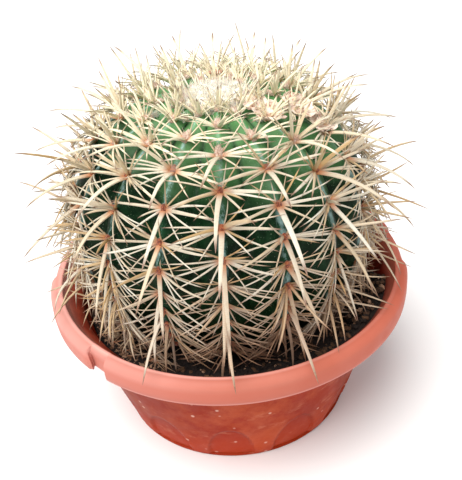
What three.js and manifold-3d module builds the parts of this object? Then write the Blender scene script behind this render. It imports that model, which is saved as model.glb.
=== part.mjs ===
// A round barrel cactus with straw-coloured spines, in a wide moulded plastic bowl.
// Millimetres, +Z up, origin at the centre of the underside of the bowl, front along -Y.

import * as THREE from 'three';
import { mergeVertices } from 'three/addons/utils/BufferGeometryUtils.js';
import Module from 'manifold-3d';

const wasm = await Module();
wasm.setup();

// Driving dimensions of the bowl
const POT_HEIGHT = 109;
const RIM_RADIUS = 125;
const RIM_INNER_RADIUS = 116;
const SKIRT_DROP = 16.5;
const SKIRT_THICKNESS = 2;
const BASE_RADIUS = 84;
const WALL_TOP_RADIUS = 107;
const WALL_BULGE = 1.1;
const WALL = 2.4;
const FLOOR = 2.6;
const FLOOR_CURVE = 6;
const LEDGE_Z = 84;
const LEDGE_INNER_RADIUS = 101;
const ARCH_COUNT = 12;
const ARCH_FIRST = -4.5;
const ARCH_HALF_WIDTH = 11;
const ARCH_HEIGHT = 38;
const ARCH_RELIEF = 1.2;
const DRAIN_COUNT = 6;
const DRAIN_RADIUS = 4.5;
const DRAIN_CIRCLE = 54;
const DRAIN_SIDES = 10;

// Places where the rim is set back, in degrees from the front, and how deep
const RIM_SETBACKS = [
  { from: -48, to: -40, depth: 4.5 },
  { from: 83.5, to: 103.5, depth: 2.5 },
  { from: -108, to: -88, depth: 2.5 },
];

// Driving dimensions of the plant
const RIB_COUNT = 16;
const STEM_X = -2.5;
const STEM_RADIUS = 96.5;
const STEM_WIDEST_Z = POT_HEIGHT + 41.5;
const STEM_UPPER = 85;
const STEM_LOWER = 99;
const UPPER_ROUNDNESS = 2.4;
const CROWN_LEAN = 3.3;
const RIB_DEPTH_RATIO = 0.125;
const RIB_CREST_HALF_WIDTH = 0.14;
const CROWN_HOLLOW_RADIUS = 24;
const CROWN_HOLLOW_DEPTH = 5;
const FOOT_SWINGS = [2.31, 2.62];
const ROOT_NECK = 8;
const ROOT_RADIUS = 13;
const ROOT_TIP_RADIUS = 6;
const ROOT_TIP_Z = 38;

// Driving dimensions of what the plant carries and stands in
const AREOLE_SPACING = 26;
const AREOLE_RADIUS = 3.2;
const FIRST_AREOLE = 36;
const CENTRAL_LENGTH = 38;
const LATERAL_LENGTH = 28;
const UPPER_LENGTH = 17;
const REACH_LIMIT = 134;
const WOOL_RADIUS = 21;
const WOOL_HEIGHT = 7;
const YOUNG_SPINE_COUNT = 22;
const FLOWER_HEIGHT = 9;
const SOIL_Z = 81;
const SOIL_UNEVENNESS = 0.4;
const INNER_GROUND = 81;
const OUTER_GROUND = 90;
const GAP = 0.35;

const FULL_TURN = 2 * Math.PI;
const DEGREE = Math.PI / 180;
const GOLDEN_ANGLE = Math.PI * (3 - Math.sqrt(5));
const RIB_PITCH = FULL_TURN / RIB_COUNT;

const COLOURS = {
  terracotta: { color: 0xcf6a52, roughness: 0.45, metalness: 0 },
  earth: { color: 0x2a1a14, roughness: 1, metalness: 0 },
  cactusGreen: { color: 0x1f5a34, roughness: 0.45, metalness: 0 },
  wool: { color: 0xf1e6c8, roughness: 0.95, metalness: 0 },
  driedPetal: { color: 0xc9a193, roughness: 0.9, metalness: 0 },
  gravel: { color: 0xcbb59a, roughness: 0.85, metalness: 0 },
};

// Repeatable random numbers between 0 and 1
function seededRandom(seed) {
  let state = seed;
  return () => {
    state = (state + 0x6d2b79f5) | 0;
    let t = Math.imul(state ^ (state >>> 15), 1 | state);
    t = (t + Math.imul(t ^ (t >>> 7), 61 | t)) ^ t;
    return ((t ^ (t >>> 14)) >>> 0) / 4294967296;
  };
}

// Welds a geometry to bare shared points and drops the triangles that collapse at a pole
function weld(geometry) {
  const bare = geometry.clone();
  bare.deleteAttribute('normal');
  bare.deleteAttribute('uv');
  const merged = mergeVertices(bare, 1e-4);
  const corners = merged.index.array;
  const kept = [];
  for (let i = 0; i < corners.length; i += 3) {
    const [a, b, c] = [corners[i], corners[i + 1], corners[i + 2]];
    if (a !== b && b !== c && c !== a) kept.push(a, b, c);
  }
  merged.setIndex(kept);
  return merged;
}

function toSolid(geometry) {
  const welded = weld(geometry);
  return new wasm.Manifold(new wasm.Mesh({
    numProp: 3,
    vertProperties: new Float32Array(welded.attributes.position.array),
    triVerts: new Uint32Array(welded.index.array),
  }));
}

function toGeometry(solid) {
  const mesh = solid.getMesh();
  const geometry = new THREE.BufferGeometry();
  geometry.setAttribute('position', new THREE.BufferAttribute(new Float32Array(mesh.vertProperties), 3));
  geometry.setIndex(new THREE.BufferAttribute(new Uint32Array(mesh.triVerts), 1));
  return geometry;
}

// Turns an outline of [radius, height] points round Z, one column at each given angle from the
// front, and moves every point to where place(radius, height, angle) says
function turned(outline, columns, place) {
  const points = outline.map(([radius, height]) => new THREE.Vector2(radius, height));
  const geometry = new THREE.LatheGeometry(points, columns.length);
  const position = geometry.attributes.position;
  const step = outline.length;
  for (let i = 0; i < position.count; i++) {
    const angle = columns[Math.floor(i / step) % columns.length];
    const [radius, height] = outline[i % step];
    const spot = place(radius, height, angle);
    position.setXYZ(i, spot.x, spot.y, spot.z);
  }
  return weld(geometry);
}

function evenColumns(count) {
  return Array.from({ length: count }, (_, i) => (i * FULL_TURN) / count);
}

// A point at a radius and an angle from the front, seen from above and growing towards +X
function polar(radius, angle, height) {
  return new THREE.Vector3(radius * Math.sin(angle), -radius * Math.cos(angle), height);
}

function finish(name, geometry, colour) {
  const shape = geometry.clone();
  shape.computeVertexNormals();
  const mesh = new THREE.Mesh(shape, new THREE.MeshStandardMaterial(COLOURS[colour]));
  mesh.name = name;
  return mesh;
}

// How far an angle lies from a middle angle, between -half a turn and half a turn
function angleFrom(angle, middle) {
  const turn = (angle - middle + Math.PI) / FULL_TURN;
  return (turn - Math.floor(turn)) * FULL_TURN - Math.PI;
}

// The bowl

// Outer radius of the bowl's wall, a cone that bulges slightly
function wallRadius(z) {
  const rise = z / (POT_HEIGHT - SKIRT_DROP);
  return BASE_RADIUS + (WALL_TOP_RADIUS - BASE_RADIUS) * rise + 4 * WALL_BULGE * rise * (1 - rise);
}

// Inner radius of the bowl: plain wall, ledge, then the flare up to the rim
function potInnerRadius(z) {
  if (z < LEDGE_Z) return Math.min(wallRadius(z) - WALL, LEDGE_INNER_RADIUS);
  const flareStart = POT_HEIGHT - SKIRT_DROP;
  const flareEnd = POT_HEIGHT - 2;
  const rise = THREE.MathUtils.clamp((z - flareStart) / (flareEnd - flareStart), 0, 1);
  return THREE.MathUtils.lerp(wallRadius(z) - WALL, RIM_INNER_RADIUS, rise);
}

// Depth of the shallow arches pressed into the lower wall
function archDepth(angle, z) {
  const pitch = FULL_TURN / ARCH_COUNT;
  const offset = angle - ARCH_FIRST * DEGREE;
  const across = (offset - Math.round(offset / pitch) * pitch) / (ARCH_HALF_WIDTH * DEGREE);
  const inside = 1 - across * across - (z / ARCH_HEIGHT) ** 2;
  return ARCH_RELIEF * THREE.MathUtils.clamp(inside * 3, 0, 1);
}

// Columns of the bowl: even ones, with a close pair at each side of each setback of the rim
function potColumns(count, pairHalfGap) {
  const edges = RIM_SETBACKS.flatMap((s) => [s.from * DEGREE, s.to * DEGREE]);
  const clear = 2.2 * DEGREE;
  const shift = ARCH_FIRST * DEGREE;
  const even = evenColumns(count).map((a) => a + shift);
  const kept = even.filter((a) => edges.every((e) => Math.abs(angleFrom(a, e)) > clear));
  const pairs = edges.flatMap((e) => [e - pairHalfGap, e + pairHalfGap]);
  return [...kept, ...pairs].map((a) => angleFrom(a, 0)).sort((a, b) => a - b);
}

function rimSetback(angle) {
  const found = RIM_SETBACKS.find((s) => angle > s.from * DEGREE && angle < s.to * DEGREE);
  return found ? found.depth : 0;
}

function potOutline() {
  const top = POT_HEIGHT;
  const skirtEnd = POT_HEIGHT - SKIRT_DROP;
  const skirtInner = RIM_RADIUS - SKIRT_THICKNESS;
  const outside = [2, 14, 24, 32, 38, 62].map((z) => [wallRadius(z), z]);
  const underRim = [
    [wallRadius(skirtEnd), skirtEnd],
    [RIM_INNER_RADIUS + 1.5, top - 4.4],
    [skirtInner - 2.6, top - 2.8],
    [skirtInner, top - 5.6],
    [skirtInner - 0.4, skirtEnd],
  ];
  const rim = [
    [RIM_RADIUS - 0.6, skirtEnd],
    [RIM_RADIUS, top - 10],
    [RIM_RADIUS - 0.3, top - 5.2],
    [RIM_RADIUS - 2.2, top - 1.5],
    [RIM_RADIUS - 5.2, top],
    [RIM_INNER_RADIUS + 1.2, top - 0.5],
    [RIM_INNER_RADIUS, top - 2],
  ];
  const inside = [
    [potInnerRadius(skirtEnd), skirtEnd],
    [potInnerRadius(LEDGE_Z), LEDGE_Z],
    [LEDGE_INNER_RADIUS, LEDGE_Z - 0.8],
    [LEDGE_INNER_RADIUS - 1.2, LEDGE_Z - 8],
    [potInnerRadius(FLOOR_CURVE), FLOOR_CURVE],
    [potInnerRadius(FLOOR_CURVE) - 3, FLOOR],
  ];
  return [[0, 0], [BASE_RADIUS - 2, 0], ...outside, ...underRim, ...rim, ...inside, [0, FLOOR]];
}

function makePot() {
  const place = (radius, z, angle) => {
    const onRim = radius > RIM_INNER_RADIUS && z >= POT_HEIGHT - SKIRT_DROP;
    const width = RIM_RADIUS - RIM_INNER_RADIUS;
    const narrowed = onRim ? (radius - RIM_INNER_RADIUS) * (rimSetback(angle) / width) : 0;
    const onWall = z > 0.5 && z <= ARCH_HEIGHT && radius > wallRadius(z) - 0.1;
    const pressed = onWall ? archDepth(angle, z) : 0;
    return polar(radius - narrowed - pressed, angle, z);
  };
  const columnCount = 60;
  const pairHalfGap = 0.35 * DEGREE;
  const columns = potColumns(columnCount, pairHalfGap);
  let solid = toSolid(turned(potOutline(), columns, place));
  for (let i = 0; i < DRAIN_COUNT; i++) {
    const hole = new THREE.CylinderGeometry(DRAIN_RADIUS, DRAIN_RADIUS, 4 * FLOOR, DRAIN_SIDES);
    hole.rotateX(Math.PI / 2);
    const spot = polar(DRAIN_CIRCLE, (i * FULL_TURN) / DRAIN_COUNT, FLOOR / 2);
    hole.translate(spot.x, spot.y, spot.z);
    solid = solid.subtract(toSolid(hole));
  }
  return finish('pot', toGeometry(solid), 'terracotta');
}

// The stem

// Radius and height of a rib's crest at a swing from the crown, 0, through the widest place, a
// quarter turn, down to the root
function crest(swing) {
  if (swing >= Math.PI / 2) {
    return [STEM_RADIUS * Math.sin(swing), STEM_WIDEST_Z + STEM_LOWER * Math.cos(swing)];
  }
  const power = 2 / UPPER_ROUNDNESS;
  const radius = STEM_RADIUS * Math.sin(swing) ** power;
  const hollow = CROWN_HOLLOW_DEPTH * Math.max(0, 1 - (radius / CROWN_HOLLOW_RADIUS) ** 2) ** 2;
  return [radius, STEM_WIDEST_Z + STEM_UPPER * Math.cos(swing) ** power - hollow];
}

// Direction along a crest away from the crown, as [radius, height]
function crestSlope(swing) {
  const small = 0.002;
  const [r0, z0] = crest(Math.max(swing - small, 1e-6));
  const [r1, z1] = crest(swing + small);
  const length = Math.hypot(r1 - r0, z1 - z0);
  return [(r1 - r0) / length, (z1 - z0) / length];
}

// Sideways place of the stem's middle at a height: the dome leans slightly to the right
function stemMiddle(z) {
  return STEM_X + CROWN_LEAN * THREE.MathUtils.clamp((z - STEM_WIDEST_Z) / STEM_UPPER, 0, 1) ** 1.5;
}

// How far the surface lies below the crest: none over the crest's own width, all of the rib's depth
// in the furrow halfway to the next crest
function ribDrop(radius, angle) {
  const across = Math.abs(angle / RIB_PITCH - Math.round(angle / RIB_PITCH));
  const flank = Math.max(0, across - RIB_CREST_HALF_WIDTH) / (0.5 - RIB_CREST_HALF_WIDTH);
  return RIB_DEPTH_RATIO * radius * flank;
}

function stemPoint(swing, angle) {
  const [radius, z] = crest(swing);
  const [slopeR, slopeZ] = crestSlope(swing);
  const drop = ribDrop(radius, angle);
  const spot = polar(radius + slopeZ * drop, angle, z - slopeR * drop);
  spot.x += stemMiddle(z);
  return spot;
}

// Rough distance of a point outside the stem's ribbed surface
function stemClearance(point) {
  const x = point.x - stemMiddle(point.z);
  const radius = Math.hypot(x, point.y);
  const height = point.z - STEM_WIDEST_Z;
  const power = height > 0 ? UPPER_ROUNDNESS : 2;
  const half = height > 0 ? STEM_UPPER : STEM_LOWER;
  const reach = ((radius / STEM_RADIUS) ** power + (Math.abs(height) / half) ** power) ** (1 / power);
  const away = Math.hypot(radius, height) * (1 - 1 / reach);
  return away + ribDrop(radius, Math.atan2(x, -point.y));
}

function makeStemSolid() {
  const swings = [0, 0.035, 0.12, 0.25, 0.43, 0.64, 0.88, 1.14, 1.4, 1.62, 1.86, 2.1, ...FOOT_SWINGS];
  const neck = crest(FOOT_SWINGS[1])[1] - ROOT_NECK;
  const root = [[ROOT_RADIUS, neck], [ROOT_TIP_RADIUS, ROOT_TIP_Z], [0, ROOT_TIP_Z]];
  const outline = [...swings.map((s) => [s, 0]), ...root];
  const lobes = [-RIB_CREST_HALF_WIDTH, RIB_CREST_HALF_WIDTH, 0.5];
  const columns = [];
  for (let rib = 0; rib < RIB_COUNT; rib++) {
    for (const lobe of lobes) columns.push((rib + lobe) * RIB_PITCH);
  }
  const place = (first, second, angle) => {
    if (second === 0) return stemPoint(first, angle);
    const spot = polar(first, angle, second);
    spot.x += STEM_X;
    return spot;
  };
  return toSolid(turned(outline.reverse(), columns, place));
}

// The withered flowers

// Crumpled papery cups, each seated on the rib that bore it
const DRIED_FLOWERS = [
  { fromCrown: 30, rib: 2, size: 0.9 },
  { fromCrown: 42, rib: 2, size: 1 },
  { fromCrown: 52, rib: 3, size: 1.1 },
  { fromCrown: 64, rib: 3, size: 1 },
  { fromCrown: 31, rib: 8, size: 0.9 },
];

// Swing at which a crest near the crown has a given radius
function swingAt(radius) {
  return Math.asin((radius / STEM_RADIUS) ** (UPPER_ROUNDNESS / 2));
}

// Foot and direction of a withered flower
function flowerSeat({ fromCrown, rib }) {
  const swing = swingAt(fromCrown);
  const [slopeR, slopeZ] = crestSlope(swing);
  const out = polar(-slopeZ, rib * RIB_PITCH, slopeR);
  const foot = stemPoint(swing, rib * RIB_PITCH).addScaledVector(out, GAP);
  return { foot, out };
}

function makeDriedFlower(name, flower) {
  const outline = [[0, 0], [2.4, 0.2], [1.9, 3], [3.2, 6], [4.8, FLOWER_HEIGHT], [3.2, 8.4], [0, 5]];
  const place = (radius, z, angle) => {
    const open = z / FLOWER_HEIGHT;
    const crumpled = radius * (1 + 0.2 * Math.sin(3 * angle + z) * open);
    const wavy = z + 0.15 * radius * Math.sin(2 * angle) * open;
    return polar(crumpled, angle, wavy).multiplyScalar(flower.size);
  };
  const mesh = finish(name, turned(outline, evenColumns(7), place), 'driedPetal');
  const { foot, out } = flowerSeat(flower);
  mesh.position.copy(foot);
  mesh.quaternion.setFromUnitVectors(new THREE.Vector3(0, 0, 1), out);
  return mesh;
}

// The spines

// One three-sided spine through the points of its path, from the root to the tip
function needle(path, radius, side) {
  const pieces = path.length - 1;
  const geometry = new THREE.ConeGeometry(radius, pieces, 3, pieces);
  const position = geometry.attributes.position;
  const along = path[pieces].clone().sub(path[0]).normalize();
  const across = side.clone().addScaledVector(along, -side.dot(along)).normalize();
  const up = across.clone().cross(along);
  for (let i = 0; i < position.count; i++) {
    const station = Math.round(position.getY(i) + pieces / 2);
    const fullness = station === 0 ? 1 : 1.5;
    const spot = path[station].clone();
    spot.addScaledVector(across, position.getX(i) * fullness);
    spot.addScaledVector(up, position.getZ(i) * fullness);
    position.setXYZ(i, spot.x, spot.y, spot.z);
  }
  return toSolid(geometry);
}

// True where a spine of some thickness may pass: clear of the wool, the withered flowers, the bowl,
// the soil and the limit of reach
function isClear(point, margin) {
  const fromPotAxis = Math.hypot(point.x, point.y);
  const fromStemAxis = Math.hypot(point.x - stemMiddle(point.z), point.y);
  if (fromStemAxis > REACH_LIMIT || fromStemAxis < WOOL_RADIUS + margin) return false;
  for (const flower of DRIED_FLOWERS) {
    const { foot, out } = flowerSeat(flower);
    const middle = foot.addScaledVector(out, FLOWER_HEIGHT / 2);
    if (middle.distanceTo(point) < 0.95 * FLOWER_HEIGHT * flower.size) return false;
  }
  if (point.z > POT_HEIGHT + margin) return true;
  return fromPotAxis < potInnerRadius(point.z) - margin && point.z > SOIL_Z + margin + SOIL_UNEVENNESS;
}

// The points of a spine that sets out along one direction and, where a second one is given, bends to
// it, turned up and shortened step by step until it clears everything, or null where it can't
function spinePath(foot, start, end, length) {
  const sunk = 4.5;
  const margin = 1.9;
  const bendAt = 0.45;
  const samples = 10;
  const attempts = 9;
  for (let attempt = 0; attempt < attempts; attempt++) {
    const shorter = length * (1 - 0.07 * attempt);
    const lift = new THREE.Vector3(0, 0, 0.11 * attempt);
    const first = start.clone().add(lift).normalize();
    const second = (end ?? start).clone().add(lift).normalize();
    const root = foot.clone().addScaledVector(first, -sunk);
    const bend = foot.clone().addScaledVector(first, shorter * bendAt);
    const tip = bend.clone().addScaledVector(second, shorter * (1 - bendAt));
    let clear = true;
    for (let step = 1; step <= samples; step++) {
      const onFirst = foot.clone().lerp(bend, step / samples);
      const onSecond = bend.clone().lerp(tip, step / samples);
      clear = clear && isClear(onFirst, margin) && isClear(onSecond, margin);
      clear = clear && stemClearance(onSecond) > margin;
    }
    if (clear) return end ? [root, bend, tip] : [root, tip];
  }
  return null;
}

// Swings of the areoles down a rib, evenly spaced along its crest
function areoleSwings(firstAt) {
  const swings = [];
  const step = 0.004;
  const lowest = 2.25;
  let walked = 0;
  let wanted = firstAt;
  for (let swing = 0.001; swing < lowest; swing += step) {
    const [r0, z0] = crest(swing);
    const [r1, z1] = crest(swing + step);
    walked += Math.hypot(r1 - r0, z1 - z0);
    if (walked < wanted) continue;
    swings.push(swing);
    wanted += AREOLE_SPACING;
  }
  return swings;
}

// The spines of one areole: a stout central one, an arching pair at the sides and one pointing up
function areoleNeedles(swing, angle, keepUpper, random) {
  const areole = stemPoint(swing, angle);
  const [slopeR, slopeZ] = crestSlope(swing);
  const down = polar(slopeR, angle, slopeZ);
  const out = polar(-slopeZ, angle, slopeR);
  const side = polar(1, angle + Math.PI / 2, 0);
  const vary = (amount) => (random() - 0.5) * 2 * amount;
  const mix = (s, o, d) => new THREE.Vector3()
    .addScaledVector(side, s + vary(0.08))
    .addScaledVector(out, o + vary(0.06))
    .addScaledVector(down, d + vary(0.06));
  const sway = vary(0.3);
  const droop = THREE.MathUtils.clamp(swing / 1.5, 0, 1);
  const start = mix(sway, 0.95, 0.1 + 0.45 * droop);
  const central = { start, end: mix(sway, 0.95 - 0.5 * droop, 0.1 + 0.75 * droop), foot: [0, 1] };
  const right = { start: mix(1, 0.5, 0.16), end: mix(1, 0.04, 0.06), foot: [1, 0] };
  const left = { start: mix(-1, 0.5, -0.1), end: mix(-1, 0.04, -0.1), foot: [-1, 0] };
  const kinds = [
    { ...central, length: CENTRAL_LENGTH, radius: 1.35, broad: side },
    { ...right, length: LATERAL_LENGTH, radius: 1.1, broad: down },
    { ...left, length: LATERAL_LENGTH, radius: 1.1, broad: down },
  ];
  if (keepUpper) {
    const upper = { start: mix(sway, 0.75, -0.8), end: null, foot: [0, -1] };
    kinds.push({ ...upper, length: UPPER_LENGTH, radius: 0.95, broad: side });
  }
  const solids = [];
  for (const { start, end, foot, length, radius, broad } of kinds) {
    const spot = areole.clone();
    spot.addScaledVector(side, foot[0] * AREOLE_RADIUS);
    spot.addScaledVector(down, foot[1] * AREOLE_RADIUS);
    const path = spinePath(spot, start, end, length * (1 + vary(0.1)));
    if (path) solids.push(needle(path, radius, broad));
  }
  return solids;
}

function makeCactus() {
  const random = seededRandom(7);
  let solid = makeStemSolid();
  for (let rib = 0; rib < RIB_COUNT; rib++) {
    const staggered = FIRST_AREOLE + (rib % 2) * (AREOLE_SPACING / 2);
    areoleSwings(staggered).forEach((swing, row) => {
      for (const spine of areoleNeedles(swing, rib * RIB_PITCH, row > 0, random)) solid = solid.add(spine);
    });
  }
  return finish('cactus', toGeometry(solid), 'cactusGreen');
}

// The felted crown, a pad of wool with the shortest, youngest spines standing in it
function makeCrownWool() {
  const rings = [0, 8, 15, WOOL_RADIUS - 1];
  const under = rings.map((radius) => [radius, crest(swingAt(radius))[1] + GAP + 0.05]);
  const top = STEM_WIDEST_Z + STEM_UPPER - CROWN_HOLLOW_DEPTH + WOOL_HEIGHT;
  const middle = stemMiddle(top);
  const over = [[WOOL_RADIUS, top - 3], [17, top - 0.4], [11, top + 0.6], [5, top - 0.3], [0, top - 1]];
  const columns = evenColumns(16);
  const place = (radius, z, angle) => {
    const lumpy = z > top - 3.5 ? 0.5 * Math.sin(5 * angle) * Math.sin(radius / 3) : 0;
    const spot = polar(radius, angle, z + lumpy);
    spot.x += middle;
    return spot;
  };
  let solid = toSolid(turned([...under, ...over], columns, place));
  const random = seededRandom(11);
  for (let i = 0; i < YOUNG_SPINE_COUNT; i++) {
    const angle = i * GOLDEN_ANGLE;
    const radius = 3 + (WOOL_RADIUS - 6) * Math.sqrt((i + 0.5) / YOUNG_SPINE_COUNT);
    const lean = polar(0.25 + (0.5 * radius) / WOOL_RADIUS, angle, 1).normalize();
    const foot = polar(radius, angle, top - 3.5);
    foot.x += middle;
    const length = 9 + 4 * random();
    const tip = foot.clone().addScaledVector(lean, length);
    solid = solid.add(needle([foot, tip], 0.9, polar(1, angle + Math.PI / 2, 0)));
  }
  return finish('crown_wool', toGeometry(solid), 'wool');
}

// Height of the soil's gently uneven top
function soilTop(radius, angle) {
  const bumps = Math.sin(7 * angle + radius) + Math.sin(11 * angle - 0.4 * radius);
  return SOIL_Z + (SOIL_UNEVENNESS * bumps) / 2;
}

// The soil, which fills the bowl up to the ledge and has a plain round hollow for the stem's foot
function makeSoil() {
  const columnCount = 40;
  const cornersPastFlats = 1 / Math.cos(Math.PI / columnCount);
  const floor = FLOOR + GAP;
  const wall = (z) => potInnerRadius(z) - GAP - 0.3;
  const holeRadius = (swing) => (crest(swing)[0] + 2 * GAP) * cornersPastFlats;
  const shoulder = crest(FOOT_SWINGS[1])[1] - GAP;
  const neck = crest(FOOT_SWINGS[1])[1] - ROOT_NECK;
  const outline = [
    [0, floor],
    [wall(FLOOR_CURVE) - 3.2, floor],
    [wall(FLOOR_CURVE), FLOOR_CURVE + 0.4],
    [LEDGE_INNER_RADIUS - 1.2 - GAP - 0.3, LEDGE_Z - 8],
    [LEDGE_INNER_RADIUS - GAP - 0.5, SOIL_Z],
    [OUTER_GROUND, SOIL_Z],
    [INNER_GROUND, SOIL_Z],
    [holeRadius(FOOT_SWINGS[0]), SOIL_Z],
    [holeRadius(FOOT_SWINGS[1]), shoulder],
    [(ROOT_RADIUS + 2 * GAP) * cornersPastFlats, neck - GAP],
    [ROOT_TIP_RADIUS + 2 * GAP, ROOT_TIP_Z - GAP],
    [0, ROOT_TIP_Z - GAP],
  ];
  const hollowRadius = holeRadius(FOOT_SWINGS[0]);
  const place = (radius, z, angle) => {
    const openGround = z === SOIL_Z && radius > hollowRadius && radius <= OUTER_GROUND;
    const spot = polar(radius, angle, openGround ? soilTop(radius, angle) : z);
    if (radius <= hollowRadius) spot.x += STEM_X;
    return spot;
  };
  return finish('soil', turned(outline, evenColumns(columnCount), place), 'earth');
}

// Loose stones lying on the soil, by their angle from the front and their distance from the middle
const PEBBLES = [
  { angle: 68.5, distance: 90, radius: 3 },
  { angle: -62, distance: 90, radius: 2.6 },
  { angle: -160, distance: 90, radius: 2.8 },
];

function makePebble(name, { angle, distance, radius }) {
  const geometry = new THREE.IcosahedronGeometry(radius, 0);
  geometry.scale(1.15, 0.95, 0.75);
  geometry.rotateZ(angle);
  geometry.computeBoundingBox();
  const seat = soilTop(distance, angle * DEGREE) + GAP - geometry.boundingBox.min.z;
  const mesh = finish(name, weld(geometry), 'gravel');
  mesh.position.copy(polar(distance, angle * DEGREE, seat));
  return mesh;
}

const group = new THREE.Group();
group.add(makePot());
group.add(makeSoil());
group.add(makeCactus());
group.add(makeCrownWool());
DRIED_FLOWERS.forEach((flower, i) => group.add(makeDriedFlower(`dried_flower_${i + 1}`, flower)));
PEBBLES.forEach((pebble, i) => group.add(makePebble(`pebble_${i + 1}`, pebble)));

export default group;
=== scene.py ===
import math
import random

import bmesh
import bpy
from mathutils import Matrix, Vector, noise


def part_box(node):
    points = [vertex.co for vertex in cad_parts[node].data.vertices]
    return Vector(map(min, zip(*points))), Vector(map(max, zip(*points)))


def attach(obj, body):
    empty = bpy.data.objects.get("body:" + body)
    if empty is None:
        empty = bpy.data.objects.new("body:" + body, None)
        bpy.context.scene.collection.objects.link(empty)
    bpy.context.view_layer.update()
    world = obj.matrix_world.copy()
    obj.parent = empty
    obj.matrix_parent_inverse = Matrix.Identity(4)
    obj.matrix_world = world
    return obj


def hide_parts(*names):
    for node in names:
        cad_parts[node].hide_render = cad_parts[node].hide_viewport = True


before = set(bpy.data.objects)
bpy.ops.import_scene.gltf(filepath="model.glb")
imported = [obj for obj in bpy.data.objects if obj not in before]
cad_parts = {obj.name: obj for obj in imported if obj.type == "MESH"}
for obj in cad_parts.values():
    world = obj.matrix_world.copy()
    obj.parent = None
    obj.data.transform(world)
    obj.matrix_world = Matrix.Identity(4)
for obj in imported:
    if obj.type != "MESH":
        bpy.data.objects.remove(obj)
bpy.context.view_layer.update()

# The bowl: one moulding of terracotta-coloured plastic. Its thin wall opens towards a rolled rim with a
# skirt that turns down, twelve shallow arches are pressed into the lower wall, and the rim is set back in
# three short places.
POT_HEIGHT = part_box("pot")[1].z
RIM_RADIUS = 0.125
RIM_INNER_RADIUS = 0.116
SKIRT_BOTTOM = POT_HEIGHT - 0.0165
BASE_RADIUS = 0.084
WALL_TOP_RADIUS = 0.107
WALL_BULGE = 0.0011
WALL = 0.0024
LEDGE_Z = 0.084
LEDGE_RADIUS = 0.101
FLOOR = 0.0026
ARCHES = 12
FIRST_ARCH = math.radians(-4.5)
ARCH_HALF_WIDTH = math.radians(11)
ARCH_HEIGHT = 0.038
ARCH_RELIEF = 0.0018
ARCH_LEVELS = (0.001, 0.043)
DRAIN_HOLES = 6
DRAIN_RADIUS = 0.0045
DRAIN_CIRCLE = 0.054
DRAIN_CUT = 1.35
SETBACKS = [(-47.6, -40, 0.0045, 0.5), (83.5, 103.5, 0.0025, 3.0), (-108, -88, 0.0025, 2.0)]
SETBACK_EASE = math.radians(2.4)
OVERHANG = math.radians(1.6)
OVERHANG_SPAN = math.radians(4)
FLARE_TOP = POT_HEIGHT - 0.002


def wall_radius(z):
    """Outer radius of the wall at a height, from the base up to the skirt."""
    rise = z / SKIRT_BOTTOM
    return BASE_RADIUS + (WALL_TOP_RADIUS - BASE_RADIUS) * rise + 4 * WALL_BULGE * rise * (1 - rise)


def bowl_inside(z):
    """Inner radius of the bowl at a height: plain wall, ledge, then the flare up to the rim."""
    if z < LEDGE_Z:
        return min(wall_radius(z) - WALL, LEDGE_RADIUS)
    flare = min(max((z - SKIRT_BOTTOM) / (FLARE_TOP - SKIRT_BOTTOM), 0), 1)
    return (wall_radius(z) - WALL) * (1 - flare) + RIM_INNER_RADIUS * flare


def arc(middle_radius, middle_z, size, start, end, steps):
    """Points of an arc in the profile's plane, its angles in degrees from the outward direction."""
    angles = [math.radians(start + (end - start) * i / steps) for i in range(steps + 1)]
    return [(middle_radius + size * math.cos(a), middle_z + size * math.sin(a)) for a in angles]


def spun(profile, steps):
    """A bmesh made by turning a profile of (radius, height) points once round the Z axis."""
    bm = bmesh.new()
    points = [bm.verts.new((0, -radius, z)) for radius, z in profile]
    edges = [bm.edges.new(pair) for pair in zip(points, points[1:])]
    bmesh.ops.spin(bm, geom=points + edges, axis=(0, 0, 1), cent=(0, 0, 0), angle=math.tau,
                   steps=steps, use_merge=True)
    bmesh.ops.remove_doubles(bm, verts=bm.verts, dist=1e-6)
    bmesh.ops.recalc_face_normals(bm, faces=bm.faces)
    return bm


def piece(name, bm, material, nodes=(), sharp=40):
    """Makes a bmesh an object of the part: smooth up to an angle, on the only body."""
    mesh = bpy.data.meshes.new(name)
    bm.to_mesh(mesh)
    bm.free()
    mesh.polygons.foreach_set("use_smooth", [True] * len(mesh.polygons))
    mesh.set_sharp_from_angle(angle=math.radians(sharp))
    mesh.materials.append(material)
    made = bpy.data.objects.new(name, mesh)
    bpy.context.scene.collection.objects.link(made)
    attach(made, "root")
    if nodes:
        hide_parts(*nodes)


def from_front(point):
    """Angle of a point round the Z axis, from the front and growing towards +X."""
    return math.atan2(point.x, -point.y)


def wrapped(angle):
    """An angle brought to between half a turn back and half a turn on."""
    return (angle + math.pi) % math.tau - math.pi


def around(radius, angle, z):
    """The point at a radius from the Z axis and an angle from the front."""
    return Vector((radius * math.sin(angle), -radius * math.cos(angle), z))


def smooth(value):
    """A value kept between 0 and 1, and eased in and out."""
    value = min(max(value, 0), 1)
    return value * value * (3 - 2 * value)


wall_heights = [0.004 + 0.002 * step for step in range(20)] + [0.050, 0.058, 0.067, 0.076, 0.085]
floor_rings = [DRAIN_CIRCLE + DRAIN_RADIUS * share for share in (-1.5, -1, -0.5, 0, 0.5, 1, 1.5)]
bowl_profile = [(0, 0), (0.02, 0), (0.036, 0)] + [(radius, 0) for radius in floor_rings] + [(0.079, 0)]
bowl_profile += arc(BASE_RADIUS - 0.002, 0.0022, 0.0022, -90, 0, 4)
bowl_profile += [(wall_radius(z), z) for z in wall_heights]
bowl_profile += [(wall_radius(SKIRT_BOTTOM), SKIRT_BOTTOM), (0.112, SKIRT_BOTTOM + 0.009)]
bowl_profile += arc(RIM_RADIUS - 0.0065, POT_HEIGHT - 0.0068, 0.0042, 140, 0, 6)
bowl_profile += [(RIM_RADIUS - 0.0022, SKIRT_BOTTOM + 0.005), (RIM_RADIUS - 0.0024, SKIRT_BOTTOM + 0.0006)]
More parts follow.
